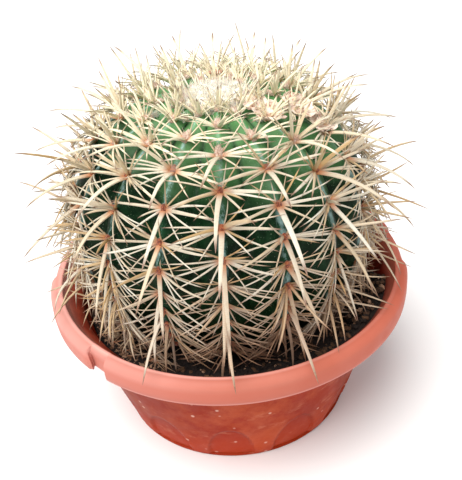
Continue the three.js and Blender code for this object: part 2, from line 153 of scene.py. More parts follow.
bowl_profile += [(RIM_RADIUS - 0.0019, SKIRT_BOTTOM), (RIM_RADIUS - 0.0009, SKIRT_BOTTOM)]
bowl_profile += [(RIM_RADIUS - 0.0004, SKIRT_BOTTOM + 0.0006), (RIM_RADIUS, SKIRT_BOTTOM + 0.005)]
bowl_profile += arc(RIM_RADIUS - 0.0056, POT_HEIGHT - 0.0056, 0.0056, 0, 90, 8)[1:]
bowl_profile += arc(RIM_INNER_RADIUS + 0.0014, POT_HEIGHT - 0.0016, 0.0014, 80, 180, 4)
bowl_profile += [(bowl_inside(z), z) for z in (0.103, 0.098, SKIRT_BOTTOM, 0.089, 0.0845)]
bowl_profile += [(LEDGE_RADIUS + 0.0005, LEDGE_Z), (LEDGE_RADIUS, LEDGE_Z - 0.0008)]
bowl_profile += [(LEDGE_RADIUS - 0.0012, 0.076)]
bowl_profile += [(bowl_inside(0.04) - 0.0004, 0.04), (bowl_inside(0.006), 0.006), (0.08, FLOOR)]
bowl_profile += [(radius, FLOOR) for radius in floor_rings[::-1]] + [(0, FLOOR)]

bowl = spun(bowl_profile, 360)
for hole in range(DRAIN_HOLES):
    middle = around(DRAIN_CIRCLE, math.tau * hole / DRAIN_HOLES, 0)
    cut = [face for face in bowl.faces if face.calc_center_median().z < FLOOR + 0.0001
           and all((corner.co.xy - middle.xy).length < DRAIN_RADIUS * DRAIN_CUT for corner in face.verts)]
    bmesh.ops.delete(bowl, geom=cut, context="FACES")
    rings = [edge for edge in bowl.edges if edge.is_boundary]
    for corner in {vert for edge in rings for vert in edge.verts}:
        outward = (corner.co.xy - middle.xy).normalized() * DRAIN_RADIUS
        corner.co.xy = middle.xy + outward
    bmesh.ops.bridge_loops(bowl, edges=rings)
bmesh.ops.recalc_face_normals(bowl, faces=bowl.faces)
setback_edges = [math.radians(edge) for start, end, depth, slope in SETBACKS for edge in (start, end)]
recess_layer = bowl.verts.layers.float.new("recess")
for vert in bowl.verts:
    angle = from_front(vert.co)
    radius = math.hypot(vert.co.x, vert.co.y)
    z = vert.co.z
    # The rim's points are drawn towards the ends of each setback, so that its steps are crisp.
    near = min(setback_edges, key=lambda edge: abs(wrapped(angle - edge)))
    off = wrapped(angle - near)
    if radius > RIM_INNER_RADIUS and abs(off) < SETBACK_EASE:
        angle = near + off * (0.15 + 0.85 * (abs(off) / SETBACK_EASE) ** 2)
        off = wrapped(angle - near)
    if radius > RIM_INNER_RADIUS and z >= SKIRT_BOTTOM - 1e-5:
        for start, end, depth, slope in SETBACKS:
            inside = min(wrapped(angle - math.radians(start)), wrapped(math.radians(end) - angle))
            outward = (radius - RIM_INNER_RADIUS) / (RIM_RADIUS - RIM_INNER_RADIUS)
            radius -= depth * outward * smooth(0.5 + math.degrees(inside) / slope)
            if start == SETBACKS[0][0] and -OVERHANG_SPAN < inside < 0 and off < 0:
                turn_in = OVERHANG * outward * (1 + inside / OVERHANG_SPAN) ** 2
                angle += turn_in * min(max((POT_HEIGHT - 0.003 - z) / 0.006, 0), 1)
    # The arches are pressed into the outside of the wall, each open at the base.
    if ARCH_LEVELS[0] < z < ARCH_LEVELS[1] and abs(radius - wall_radius(z)) < WALL / 4:
        pitch = math.tau / ARCHES
        across = wrapped(angle - FIRST_ARCH)
        across = (across - round(across / pitch) * pitch) / ARCH_HALF_WIDTH
        inside = 1 - across * across - (z / ARCH_HEIGHT) ** 2
        vert[recess_layer] = min(max(inside * 6, 0), 1)
        radius -= ARCH_RELIEF * smooth(inside * 6)
    vert.co = around(radius, angle, z)


def material_of(name, roughness):
    """A new material, with its node tree's nodes, links and shader."""
    made = bpy.data.materials.new(name)
    made.use_nodes = True
    tree = made.node_tree
    shader = tree.nodes["Principled BSDF"]
    shader.inputs["Roughness"].default_value = roughness
    return made, tree, shader


def node(tree, kind, inputs=None, **settings):
    """A node with its settings, its input values, and its input links where a value is a socket."""
    made = tree.nodes.new("ShaderNode" + kind)
    for key, value in settings.items():
        setattr(made, key, value)
    for key, value in (inputs or {}).items():
        if isinstance(value, bpy.types.NodeSocket):
            tree.links.new(value, made.inputs[key])
        else:
            made.inputs[key].default_value = value
    return made


def colour(red, green, blue):
    """A colour given as screen values from 0 to 255."""
    shares = [value / 255 for value in (red, green, blue)]
    linear = [share / 12.92 if share <= 0.04 else ((share + 0.055) / 1.055) ** 2.4 for share in shares]
    return (*linear, 1)


def grain(tree, scale, detail=3.0, roughness=0.5, stretch=(1, 1, 1)):
    """Noise on Object coordinates, stretched along the axes."""
    place = node(tree, "TexCoord").outputs["Object"]
    mapped = node(tree, "Mapping", {"Vector": place, "Scale": stretch}).outputs["Vector"]
    return node(tree, "TexNoise", {"Vector": mapped, "Scale": scale, "Detail": detail,
                                   "Roughness": roughness}).outputs["Fac"]


def band(tree, value, low, high, to_low=0.0, to_high=1.0):
    """A value taken from one range to another, and kept inside it."""
    return node(tree, "MapRange", {"Value": value, "From Min": low, "From Max": high,
                                   "To Min": to_low, "To Max": to_high}).outputs["Result"]


def blend(tree, factor, first, second):
    """Two colours mixed: the first where the factor is 0 and the second where it is 1."""
    mixed = node(tree, "Mix", {"Factor": factor}, data_type="RGBA")
    for socket, value in ((6, first), (7, second)):
        if isinstance(value, bpy.types.NodeSocket):
            tree.links.new(value, mixed.inputs[socket])
        else:
            mixed.inputs[socket].default_value = value
    return mixed.outputs[2]


def both(tree, first, second):
    """The product of two values: where both of them hold."""
    return node(tree, "Math", {0: first, 1: second}, operation="MULTIPLY").outputs[0]


def stored(tree, name):
    """A value that the points of the mesh carry under a name."""
    return node(tree, "Attribute", attribute_name=name).outputs["Fac"]


def bumped(tree, shader, height, strength, distance):
    """Raises the surface by a height from 0 to 1 times the distance."""
    bump = node(tree, "Bump", {"Height": height, "Strength": strength, "Distance": distance})
    tree.links.new(bump.outputs["Normal"], shader.inputs["Normal"])


plastic, tree, shader = material_of("moulded_plastic", 0.5)
shader.inputs["Specular IOR Level"].default_value = 0.12
place = node(tree, "SeparateXYZ", {"Vector": node(tree, "TexCoord").outputs["Object"]})
to_right = place.outputs["X"]
height = place.outputs["Z"]
flat = node(tree, "CombineXYZ", {"X": to_right, "Y": place.outputs["Y"]}).outputs["Vector"]
radius = node(tree, "VectorMath", {0: flat}, operation="LENGTH").outputs["Value"]
recess = stored(tree, "recess")

# The rim: paler at the left, partly sun-bleaching and partly painted light and sheen; painted shade at the
# right and down the skirt; a painted highlight on the inner lip; a thin pale foot edge, partly wear and
# partly painted highlight.
clouds = band(tree, grain(tree, 26), 0.35, 0.7)
rim_colour = blend(tree, clouds, colour(180, 101, 83), colour(188, 112, 95))
# Paler at the left: partly sun-bleaching, partly painted light and sheen where the key light falls.
bleached_and_painted_light = band(tree, to_right, 0.0, -0.11, 0, 0.55)
rim_colour = blend(tree, bleached_and_painted_light, rim_colour, colour(224, 168, 160))
# Painted shade: the rim is ruddier and darker at the right, away from the light.
painted_rim_shade_right = band(tree, to_right, 0.03, 0.12, 0, 0.6)
rim_colour = blend(tree, painted_rim_shade_right, rim_colour, colour(196, 92, 68))
skirt_shade = band(tree, height, POT_HEIGHT - 0.0035, POT_HEIGHT - 0.0075, 0, 0.5)
rim_colour = blend(tree, skirt_shade, rim_colour, colour(184, 96, 78))
# Painted highlight along the inner lip, stronger at the left where the light falls.
lip_highlight_outer = band(tree, radius, RIM_INNER_RADIUS + 0.0004, RIM_INNER_RADIUS + 0.0016)
lip_highlight_inner = band(tree, radius, RIM_INNER_RADIUS + 0.0040, RIM_INNER_RADIUS + 0.0024)
lip_highlight_inner = both(tree, lip_highlight_inner, band(tree, to_right, 0.08, -0.02, 0.12, 0.55))
rim_colour = blend(tree, both(tree, lip_highlight_outer, lip_highlight_inner), rim_colour, colour(244, 178, 166))
# A thin pale line along the skirt's foot: partly wear, partly painted highlight.
wear_and_highlight_edge = band(tree, height, SKIRT_BOTTOM + 0.0022, SKIRT_BOTTOM + 0.0010, 0, 0.3)
rim_colour = blend(tree, wear_and_highlight_edge, rim_colour, colour(224, 172, 170))

# The wall: a deeper red than the rim, partly painted shade, washed and dusted with soil in patches, splashed
# with pale dots and smeared, and a lighter orange towards the bottom. Painted shade darkens the arches, their
# edges, the left, a band at the right and the foot.
# The wall's deeper red is partly its own colour and partly painted shade under the rim.
body_colour = blend(tree, clouds, colour(140, 34, 6), colour(152, 44, 12))
washed = band(tree, grain(tree, 32, detail=6, roughness=0.75), 0.43, 0.62, 0, 0.7)
dusted = blend(tree, washed, body_colour, colour(176, 78, 42))
# Inside the arches the wall is a darker, cleaner red: partly less dust, partly painted shade in the recess.
wall_with_painted_shade = blend(tree, recess, dusted, blend(tree, 0.7, dusted, colour(140, 30, 4)))
# Painted shade darkens the wall at the left, against the light that falls there.
painted_shade_left = band(tree, to_right, -0.01, -0.07, 0, 0.5)
wall_with_painted_shade = blend(tree, painted_shade_left, wall_with_painted_shade, colour(106, 24, 6))
# Painted shade: a dark band at the right, where the flank of an arch turns from the light.
painted_shade_right = both(tree, band(tree, to_right, 0.064, 0.074), band(tree, to_right, 0.090, 0.078, 0, 0.4))
wall_with_painted_shade = blend(tree, painted_shade_right, wall_with_painted_shade, colour(96, 24, 10))
# Painted shadow along the edges of the arches.
painted_arch_edge_shade = both(tree, band(tree, recess, 0.02, 0.3), band(tree, recess, 0.98, 0.6, 0, 0.5))
wall_with_painted_shade = blend(tree, painted_arch_edge_shade, wall_with_painted_shade, colour(112, 26, 10))
wall_with_painted_shade = blend(tree, band(tree, height, 0.034, 0.006, 0, 0.5), wall_with_painted_shade, colour(196, 66, 22))
# Painted shade darkens the foot of the wall.
wall_with_painted_shade = blend(tree, band(tree, height, 0.0030, 0.0005, 0, 0.4), wall_with_painted_shade, colour(110, 28, 8))
splash = node(tree, "TexVoronoi", {"Vector": node(tree, "TexCoord").outputs["Object"], "Scale": 85.0})
chosen = band(tree, node(tree, "SeparateColor", {"Color": splash.outputs["Color"]}).outputs[0], 0.30, 0.36)
dot = band(tree, splash.outputs["Distance"], 0.13, 0.06, 0, 0.7)
spots = both(tree, chosen, dot)
smears = band(tree, grain(tree, 95, detail=5, roughness=0.7, stretch=(0.5, 0.5, 1.2)), 0.57, 0.70, 0, 0.5)
marked = blend(tree, spots, blend(tree, smears, wall_with_painted_shade, colour(190, 114, 86)), colour(222, 184, 168))
outside = blend(tree, band(tree, height, SKIRT_BOTTOM + 0.0005, SKIRT_BOTTOM - 0.0015), rim_colour, marked)

# The lining above the soil: dark with wet soil and painted shade, and painted lighter at the left, where the
# light falls.
stained = band(tree, grain(tree, 75, detail=5), 0.35, 0.65)
lining_dirt_and_shade = blend(tree, stained, colour(114, 28, 13), colour(48, 12, 5))
# Painted light: the lining's lit colour at the left.
painted_lit_lining = blend(tree, stained, colour(206, 92, 66), colour(172, 66, 46))
lining_dirt_and_shade = blend(tree, band(tree, to_right, -0.02, -0.085), lining_dirt_and_shade, painted_lit_lining)
below_lip = band(tree, height, POT_HEIGHT - 0.003, POT_HEIGHT - 0.012)
within = band(tree, radius, RIM_INNER_RADIUS + 0.001, RIM_INNER_RADIUS)
lining = both(tree, below_lip, within)
under_rim = band(tree, height, SKIRT_BOTTOM, SKIRT_BOTTOM - 0.0001)
lining = node(tree, "Math", {0: lining, 1: under_rim}, operation="SUBTRACT", use_clamp=True).outputs[0]
tree.links.new(blend(tree, lining, outside, lining_dirt_and_shade), shader.inputs["Base Color"])
tree.links.new(band(tree, grain(tree, 90), 0.3, 0.7, 0.42, 0.6), shader.inputs["Roughness"])
bumped(tree, shader, grain(tree, 900, detail=2), 0.12, 0.0002)
piece("bowl", bowl, plastic, ["pot"], sharp=42)

# The soil: dark damp potting earth that fills the bowl to just under its ledge, uneven and crumbly on top,
# with a plain hollow for the stem's foot. At the right it is heaped over the ledge, against the wall.
SOIL_TOP = 0.081
SOIL_OUTER = 0.1002
SOIL_CLEARANCE = 0.0006
HEAP_RISE = 0.0205
HEAP_INNER = 0.0745
HEAP_FOOT = 0.085
HEAP_RUN = 0.024
HEAP_START = 28
HEAP_END = 104
HEAP_PEAK = math.radians(80)
STEM_HOLLOW = 0.0740
STEM_X = -0.0025


def heap_share(angle):
    """How much of the heap there is in a direction: all of it at the right, and none away from there."""
    degrees = math.degrees(angle)
    return smooth((degrees - HEAP_START) / 26) * smooth((HEAP_END - degrees) / 30)


def soil_height(radius, angle):
    """Height of the soil's top, without its lumps."""
    return SOIL_TOP + heap_share(angle) * HEAP_RISE * smooth((radius - HEAP_FOOT) / HEAP_RUN)


def soil_edge(angle):
    """Radius at which the soil meets the bowl, over the ledge where it is heaped."""
    share = heap_share(angle)
    level = max(SOIL_TOP + HEAP_RISE * share, LEDGE_Z + 0.0001)
    return SOIL_OUTER + (bowl_inside(level) - SOIL_CLEARANCE - SOIL_OUTER) * smooth(share / 0.25)


HEAP_OUTER = soil_edge(HEAP_PEAK)
hollow = [(0, 0.0376), (0.0065, 0.0376), (0.0137, 0.0565), (0.050, 0.0640), (0.066, 0.0745)]
hollow += [(0.0725, SOIL_TOP - 0.001)]
ground = [HEAP_INNER + (HEAP_OUTER - HEAP_INNER) * i / 26 for i in range(27)]
ground = [(radius, soil_height(radius, HEAP_PEAK)) for radius in ground]
soil_profile = [(0, 0.003), (0.0797, 0.003), (0.0827, 0.0064), (0.0991, 0.076)]
soil_profile += [(SOIL_OUTER, SOIL_TOP - 0.0005), (SOIL_OUTER + 0.0003, LEDGE_Z), (0.1024, LEDGE_Z + 0.0006)]
soil_profile += [(bowl_inside(z) - SOIL_CLEARANCE, z) for z in (SKIRT_BOTTOM, 0.096)]
soil = spun(soil_profile + ground[::-1] + hollow[::-1], 280)
for vert in soil.verts:
    radius = math.hypot(vert.co.x, vert.co.y)
    angle = from_front(vert.co)
    z = vert.co.z
    share = heap_share(angle)
    if z > SOIL_TOP - 0.0001 or radius > SOIL_OUTER:
        outer = soil_edge(angle)
        if radius > HEAP_INNER:
            radius = HEAP_INNER + (radius - HEAP_INNER) * (outer - HEAP_INNER) / (HEAP_OUTER - HEAP_INNER)
        z = min(SOIL_TOP + (z - SOIL_TOP) * share, soil_height(radius, angle))
        lump = noise.fractal(vert.co * 60, 0.8, 2.1, 5) * 0.0016 + noise.noise(vert.co * 420) * 0.0006
        # The lumps fade out towards the stem, and are lower against the bowl.
        calmed = 1 - 0.7 * smooth((radius - outer + 0.003) / 0.003)
        z += lump * smooth((radius - HEAP_INNER) / 0.004) * calmed
    vert.co = around(radius, angle, z)
    if radius < STEM_HOLLOW:
        vert.co.x += STEM_X
bmesh.ops.remove_doubles(soil, verts=soil.verts, dist=2e-5)
bmesh.ops.recalc_face_normals(soil, faces=soil.faces)


def earth_material(name, dark, light, spread):
    """A dull, rough, speckled finish for the soil and what lies on it, its specks finer as spread grows."""
    made, tree, shader = material_of(name, 0.92)
    shade = blend(tree, band(tree, grain(tree, spread, detail=6, roughness=0.7), 0.35, 0.68), dark, light)
    tree.links.new(shade, shader.inputs["Base Color"])
    bumped(tree, shader, grain(tree, spread * 4, detail=6), 0.8, 0.0008)
    return made


earth = earth_material("potting_earth", colour(14, 9, 7), colour(42, 26, 19), 220)
piece("soil_bed", soil, earth, ["soil"], sharp=180)

# The loose bits on the soil: crumbs of earth, chips of bark, pale grit and a few small stones, as any potting
# mix has. They are strewn over the open ring between the stem and the bowl, more thickly in some places.
CRUMBS_INNER = 0.0755
CRUMBS_FROM_EDGE = 0.002


def crumbs(name, seed, count, sizes, flatness, angles, material):
    """Small broken lumps strewn between two angles, each with its own size, turn and flatness."""
    draw = random.Random(seed)
    bm = bmesh.new()
    for _ in range(count):
        size = draw.uniform(*sizes)
        angle = math.radians(draw.uniform(*angles))
        outer = soil_edge(wrapped(angle)) - CRUMBS_FROM_EDGE
        radius = math.sqrt(draw.uniform(CRUMBS_INNER ** 2, outer ** 2))
        lump = bmesh.ops.create_icosphere(bm, subdivisions=1, radius=size)["verts"]
        for vert in lump:
            vert.co *= draw.uniform(0.7, 1.2)
        proportions = (draw.uniform(0.8, 1.6), draw.uniform(0.6, 1.0), draw.uniform(*flatness), 1)
        turn = (Matrix.Rotation(draw.uniform(0, math.tau), 4, "Z")
                @ Matrix.Rotation(draw.gauss(0, 0.35), 4, "X"))
        spot = around(radius, angle, soil_height(radius, wrapped(angle)) + size * 0.25)
        place = Matrix.Translation(spot) @ turn @ Matrix.Diagonal(proportions)
        bmesh.ops.transform(bm, matrix=place, verts=lump)
    piece(name, bm, material, sharp=25)


bark = earth_material("bark_chips", colour(42, 26, 17), colour(112, 78, 52), 130)
grit = earth_material("pale_grit", colour(120, 86, 66), colour(190, 152, 124), 160)
crumbs("soil_crumbs", 3, 1500, (0.0006, 0.0017), (0.5, 1.0), (0, 360), earth)
crumbs("bark_chips", 5, 420, (0.0009, 0.0024), (0.25, 0.6), (0, 360), bark)
crumbs("bark_heap", 12, 240, (0.0011, 0.0026), (0.5, 0.9), (35, 135), bark)
crumbs("grit_left", 8, 420, (0.0006, 0.0015), (0.5, 1.0), (-95, -32), grit)
crumbs("grit_scattered", 9, 90, (0.0005, 0.0011), (0.6, 1.0), (0, 360), grit)
crumbs("stones_heap", 31, 14, (0.0016, 0.0026), (0.7, 1.0), (48, 112), grit)

# The stem: one globe with sixteen ribs, a firm waxy green skin over water-rich flesh, lighter towards the
# crown. Its top is sunken, its foot narrows to a root stub in the soil, and the crests rise a little at each
# areole.
RIBS = 16
RIB_PITCH = math.tau / RIBS
STEM_RADIUS = 0.0965
STEM_WIDEST = POT_HEIGHT + 0.0415
STEM_UPPER = 0.085
STEM_LOWER = 0.099
ROUNDNESS = 2.4
CROWN_LEAN = 0.0033
HOLLOW_RADIUS = 0.024
HOLLOW_DEPTH = 0.005
RIB_DEPTH = 0.14
FOOT_SWING = 2.62
FURROW_WIDTH = 0.05
FURROW_RISE = 0.10
SWING_STEP = 0.002
KNOB_HEIGHT = 0.0016
KNOB_REACH = 0.0045
KNOB_HALF_WIDTH = 0.22


def crest(swing):
    """Radius and height of a rib's crest at a swing from the crown, a quarter turn at the widest place."""
    if swing >= math.pi / 2:
        return STEM_RADIUS * math.sin(swing), STEM_WIDEST + STEM_LOWER * math.cos(swing)
    radius = STEM_RADIUS * math.sin(swing) ** (2 / ROUNDNESS)
    sunken = HOLLOW_DEPTH * max(0, 1 - (radius / HOLLOW_RADIUS) ** 2) ** 2
    return radius, STEM_WIDEST + STEM_UPPER * max(math.cos(swing), 0) ** (2 / ROUNDNESS) - sunken


def stem_middle(z):
    """Sideways place of the stem's middle at a height: the dome leans slightly to the right."""
    return STEM_X + CROWN_LEAN * min(max((z - STEM_WIDEST) / STEM_UPPER, 0), 1) ** 1.5


# Where the areoles sit: the walk down each rib from the crown, in steps of some 22 mm at the shoulder that
# shorten to 12 mm at the soil, with odd ribs half a step behind the even ones.
AREOLE_ANCHORS = {0: 0.0610, 1: 0.0746, 15: 0.0717, 2: 0.0649, 14: 0.0592}
WALK_END = 2.32
WIDEST_SPACING = 0.022
CLOSEST_SPACING = 0.012
CROWN_LENGTH = 0.039
FIRST_AREOLE = 0.017
LAST_AREOLE = 0.207
walk = [(1e-4, 0.0)]
while walk[-1][0] < WALK_END:
    swing, length = walk[-1]
    here, there = crest(swing), crest(swing + SWING_STEP)
    walk.append((swing + SWING_STEP, length + math.dist(here, there)))


def swing_at(length):
    """The swing at which the walk down a crest reaches a length."""
    return min(walk, key=lambda pair: abs(pair[1] - length))[0]


def areole_spacing(length):
    """Step from one areole to the next, at a length down the crest."""
    if length < CROWN_LENGTH:
        return WIDEST_SPACING * (max(length, 0.004) / CROWN_LENGTH) ** 0.75
    return min(max(WIDEST_SPACING - (length - 0.070) * 0.11, CLOSEST_SPACING), WIDEST_SPACING)


draw = random.Random(21)
areoles = []
for rib in range(RIBS):
    anchor = AREOLE_ANCHORS.get(rib, (0.061 if rib % 2 == 0 else 0.073) + draw.uniform(-0.003, 0.003))
    lengths = [anchor]
    while lengths[0] > FIRST_AREOLE:
        lengths.insert(0, lengths[0] - areole_spacing(lengths[0] - areole_spacing(lengths[0]) / 2))
    while lengths[-1] < LAST_AREOLE:
        lengths.append(lengths[-1] + areole_spacing(lengths[-1]))
    areoles += [(rib, length, swing_at(length)) for length in lengths[:-1]]

stem_profile = [crest(0.0001 + FOOT_SWING * (i / 120) ** 0.9) for i in range(121)]
neck = stem_profile[-1][1] - 0.008
stem_profile += [(0.013, neck), (0.006, 0.038), (0, 0.038)]
stem_profile[0] = (0, stem_profile[0][1])
stem = spun(stem_profile[::-1], RIBS * 14)
crest_layer = stem.verts.layers.float.new("crest")
rib_areoles = [[crest(swing) for bearer, length, swing in areoles if bearer == rib] for rib in range(RIBS)]
for vert in stem.verts:
    radius = math.hypot(vert.co.x, vert.co.y)
    z = vert.co.z
    if z < neck + 0.001 or radius < 1e-6:
        vert.co.x += stem_middle(z)
        continue
    angle = from_front(vert.co)
    rib = round(angle / RIB_PITCH)
    across = abs(angle / RIB_PITCH - rib)
    # The flank falls away from the crest, and is rounded off in the furrow.
    flank = 0.55 * 2 * across + 0.45 * (1 - math.cos(math.pi * across))
    flank = flank - FURROW_RISE * math.exp(-((across - 0.5) / FURROW_WIDTH) ** 2)
    drop = RIB_DEPTH * radius * flank
    power = ROUNDNESS if z > STEM_WIDEST else 2
    half = STEM_UPPER if z > STEM_WIDEST else STEM_LOWER
    slope = Vector(((radius / STEM_RADIUS) ** (power - 1) / STEM_RADIUS,
                    math.copysign((abs(z - STEM_WIDEST) / half) ** (power - 1) / half, z - STEM_WIDEST)))
    slope.normalize()
    nearest = min(math.dist((radius, z), spot) for spot in rib_areoles[rib % RIBS])
    knob = KNOB_HEIGHT * math.exp(-(nearest / KNOB_REACH) ** 2) - KNOB_HEIGHT / 2
    lift = knob * max(0, 1 - across / KNOB_HALF_WIDTH) ** 1.5
    wobble = 0.0007 * noise.noise(Vector((angle * 9, z * 60, 3)))
    radius += slope.x * (lift + wobble - drop)
    z += slope.y * (lift + wobble - drop)
    vert[crest_layer] = max(0, 1 - 2 * across)
    vert.co = (radius * math.sin(angle) + stem_middle(z), -radius * math.cos(angle), z)


def translucent(shader, weight, depths):
    """Lets light into the surface, to a depth for each of red, green and blue."""
    shader.inputs["Subsurface Weight"].default_value = weight
    shader.inputs["Subsurface Radius"].default_value = depths


skin, tree, shader = material_of("waxy_skin", 0.42)
shader.inputs["Specular IOR Level"].default_value = 0.11
translucent(shader, 0.05, (0.001, 0.003, 0.001))
place = node(tree, "SeparateXYZ", {"Vector": node(tree, "TexCoord").outputs["Object"]})

# The lighter green towards the crown is partly young skin and partly painted light from above; it reaches a
# little lower at the right as painted light.
painted_light_height = node(tree, "Math", {0: place.outputs["X"], 1: 0.14, 2: place.outputs["Z"]}, operation="MULTIPLY_ADD")
young = band(tree, painted_light_height.outputs[0], 0.197, 0.240)
flank_green = blend(tree, young, colour(4, 26, 9), colour(118, 176, 112))
# The crests are paler: partly their own bloom, partly painted highlight where they catch the light.
crest_green_and_highlight = blend(tree, young, colour(22, 66, 44), colour(176, 222, 190))
near_crest = band(tree, stored(tree, "crest"), 0.80, 1.0, 0, 0.75)
ribbed = blend(tree, near_crest, flank_green, crest_green_and_highlight)
# Painted highlight: bluish-white streaks along the crests, where the waxy skin catches the light.
streaks = band(tree, grain(tree, 130, detail=6, roughness=0.75, stretch=(1, 1, 0.35)), 0.45, 0.57)
painted_crest_highlight = band(tree, both(tree, near_crest, streaks), 0.1, 0.6, 0, 0.8)
ribbed = blend(tree, painted_crest_highlight, ribbed, colour(172, 206, 206))
# Painted shade darkens the furrows.
painted_furrow_shade = band(tree, stored(tree, "crest"), 0.25, 0.0)
shaded = blend(tree, painted_furrow_shade, ribbed, colour(4, 26, 9))
patches = band(tree, grain(tree, 34, detail=3, stretch=(1, 1, 0.6)), 0.42, 0.66, 0, 0.5)
shaded = blend(tree, patches, shaded, blend(tree, young, colour(8, 44, 20), colour(56, 124, 62)))
mottled = blend(tree, band(tree, grain(tree, 140, detail=6, roughness=0.7), 0.44, 0.68, 0, 0.5), shaded,
                blend(tree, young, colour(34, 74, 42), colour(150, 196, 150)))
dots = band(tree, grain(tree, 1300, detail=1), 0.70, 0.78, 0, 0.5)
dotted = blend(tree, dots, mottled, colour(190, 212, 180))
tree.links.new(dotted, shader.inputs["Base Color"])
tree.links.new(band(tree, grain(tree, 160), 0.3, 0.7, 0.28, 0.46), shader.inputs["Roughness"])
bumped(tree, shader, grain(tree, 700, detail=3), 0.25, 0.0003)
piece("stem", stem, skin, ["cactus"], sharp=75)

# The areoles: small oval cushions of short red-brown felt on the crests, out of which the spines grow. The
# youngest, near the crown, are long and still covered in pinkish cream wool.
WOOLLY_UNTIL = 0.078
WOOLLY_FADE = 0.020
CUSHION = (0.0018, 0.0030, 0.0015)
WOOLLY_GROWTH = (0.0006, 0.0020, 0.0004)

felt, tree, shader = material_of("areole_felt", 0.95)
age = stored(tree, "age")
aged = blend(tree, age, colour(248, 226, 208), colour(108, 50, 34))
flecks = blend(tree, age, colour(226, 184, 160), colour(190, 108, 64))
fuzzy = blend(tree, band(tree, grain(tree, 1000, detail=4), 0.44, 0.60, 0, 0.8), aged, flecks)
tree.links.new(fuzzy, shader.inputs["Base Color"])
shader.inputs["Sheen Weight"].default_value = 0.3
bumped(tree, shader, grain(tree, 2600, detail=4), 0.9, 0.0006)


def areole_frame(rib, swing):
    """Place of an areole and its directions: sideways, out of the stem, and down along the crest."""
    radius, z = crest(swing)
    ahead, behind = crest(swing + SWING_STEP), crest(max(swing - SWING_STEP, 1e-4))
    slope = Vector((ahead[0] - behind[0], ahead[1] - behind[1])).normalized()
    angle = rib * RIB_PITCH
    facing = around(1, angle, 0)
    spot = facing * radius + Vector((stem_middle(z), 0, z))
    down = facing * slope.x + Vector((0, 0, slope.y))
    out = facing * -slope.y + Vector((0, 0, slope.x))
    return spot, Vector((math.cos(angle), math.sin(angle), 0)), out, down


felts = bmesh.new()
age_layer = felts.verts.layers.float.new("age")
for rib, length, swing in areoles:
    spot, side, out, down = areole_frame(rib, swing)
    young = smooth((WOOLLY_UNTIL - length) / WOOLLY_FADE)
    cushion = bmesh.ops.create_icosphere(felts, subdivisions=3 if young > 0 else 2, radius=1)["verts"]
    for vert in cushion:
        vert[age_layer] = 1 - young * min(max(1.0 - vert.co.y * 0.4, 0), 1)
        fuzz = (0.10 + 0.26 * young) * noise.noise(vert.co * 5.5 + spot * 500)
        vert.co *= 1 + 0.16 * noise.noise(vert.co * 2.3 + spot * 900) + fuzz
    sizes = Matrix.Diagonal([size + growth * young for size, growth in zip(CUSHION, WOOLLY_GROWTH)] + [1])
    turn = Matrix((side, down, out)).transposed().to_4x4()
    middle = spot + out * 0.0005 - down * 0.0018 * young
    bmesh.ops.transform(felts, matrix=Matrix.Translation(middle) @ turn @ sizes, verts=cushion)
piece("areole_cushions", felts, felt, sharp=180)

# The spines: hard straw-coloured needles, orange-brown at the root and brown at the tip, that grow out of the
# areoles. Each areole has a broad flattened one that hangs forward, arching pairs at the sides and thinner
# ones above. On three front ribs one broad spine hangs out over the rim.
REACH = 0.1412
TOP_REACH = 0.2735
RIM_CLEARANCE = 0.0018
GROUND_CLEARANCE = 0.0022
ROOT_DEPTH = 0.0016
ROOT_SPREAD = 0.0012
ROOT_SHIFT = 0.0018


def needle_form(sides, rings, waist):
    """A needle of unit length along Z and unit width, ringed so that it can bend, sharp at its tip."""
    bm = bmesh.new()
    bmesh.ops.create_cone(bm, cap_ends=True, cap_tris=False, segments=sides, radius1=0.5, radius2=0.02,
                          depth=1)
    bmesh.ops.translate(bm, verts=bm.verts, vec=(0, 0, 0.5))
    along = [edge for edge in bm.edges if abs(edge.verts[0].co.z - edge.verts[1].co.z) > 0.5]
    bmesh.ops.subdivide_edges(bm, edges=along, cuts=rings, use_grid_fill=True)
    for vert in bm.verts:
        taper = 0.94 * (1 - vert.co.z) ** waist + 0.06
        flat = Vector((vert.co.x, vert.co.y, 0)).normalized() * 0.5 * taper
        vert.co = (flat.x, flat.y, vert.co.z)
    form = bpy.data.meshes.new("needle_form")
    bm.to_mesh(form)
    bm.free()
    return form


def fits(point):
    """True where a spine may pass: clear of the bowl and the soil, and within the longest spines' reach."""
    if math.hypot(point.x, point.y) > REACH or point.z > TOP_REACH:
        return False
    if point.z > POT_HEIGHT + RIM_CLEARANCE:
        return True
    radius = math.hypot(point.x, point.y)
    clear_wall = radius < bowl_inside(point.z) - RIM_CLEARANCE
    return clear_wall and point.z > soil_height(radius, from_front(point)) + GROUND_CLEARANCE


# A spine that doesn't fit is turned up, or down where it hangs by the stem, and then made shorter.
RAISED = [(0.12 * step, share) for share in (1.0, 0.86, 0.74, 0.63) for step in range(6)]
HANGING = [(0.3 * step - 1.0, share) for share in (1.0, 0.88, 0.76) for step in range(4)]


def spine_path(spot, start, end, length, tries):
    """Root, bend and tip of a spine in the first way that all of it fits, and its share of the length."""
    for turned, share in tries:
        lift = Vector((0, 0, turned))
        first, second = (start + lift).normalized(), (end + lift).normalized()
        root = spot - first * ROOT_DEPTH
        bend = spot + first * length * share * 0.5
        tip = bend + second * length * share * 0.5
        points = [root.lerp(bend, t).lerp(bend.lerp(tip, t), t) for t in (0.3, 0.5, 0.7, 0.85, 1)]
        if all(fits(point) for point in points):
            return root, bend, tip, share
    return None


